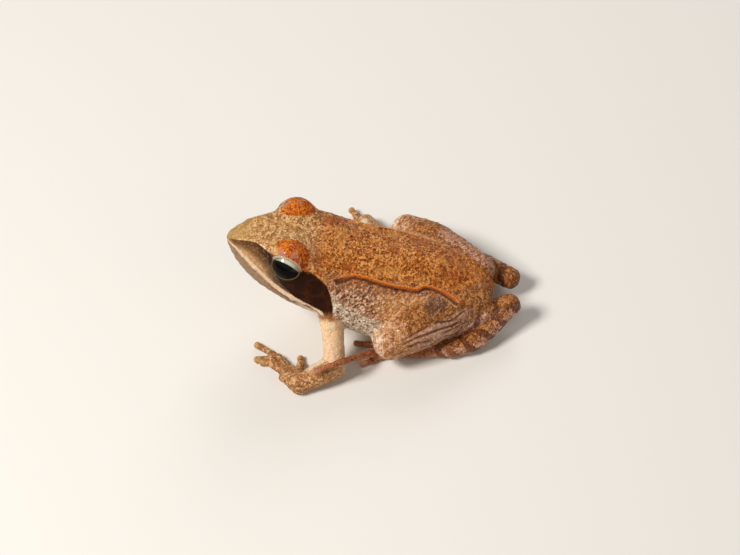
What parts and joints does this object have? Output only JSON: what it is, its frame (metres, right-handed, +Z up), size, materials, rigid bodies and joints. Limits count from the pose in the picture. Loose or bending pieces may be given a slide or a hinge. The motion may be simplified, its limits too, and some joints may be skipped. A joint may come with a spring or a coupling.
{
  "type": "wood frog",
  "caption": "Life-size wood frog sitting with its head raised, hind legs folded and forefeet turned in, as a still display model of the animal",
  "frame": {"origin": "the middle of the bounding box in X and Y, on the floor the frog sits on", "axes": "+Z is up; the frog faces -X with its left side towards -Y, and the long way of the whole model, from the finger and snout tips to the heels, is along X"},
  "size_m": [0.0468, 0.04, 0.021],
  "materials": {
    "skin": "moist, finely granular skin, orange brown above and cream below, with a dark brown mask behind each eye",
    "eye": "glossy dark eye with a pale green-gold upper iris"
  },
  "bodies": {
    "root": {"torso": "skin", "head": "skin", "lower_jaw": "skin", "tympanum_left": "skin", "tympanum_right": "skin", "eye_left": "eye", "eye_right": "eye", "upper_arm_left": "skin", "upper_arm_right": "skin", "forearm_left": "skin", "forearm_right": "skin", "hand_left": "skin", "hand_right": "skin", "thigh_left": "skin", "thigh_right": "skin", "shank_left": "skin", "shank_right": "skin", "tarsus_left": "skin", "tarsus_right": "skin", "foot_left": "skin", "foot_right": "skin"}
  },
  "joints": []
}
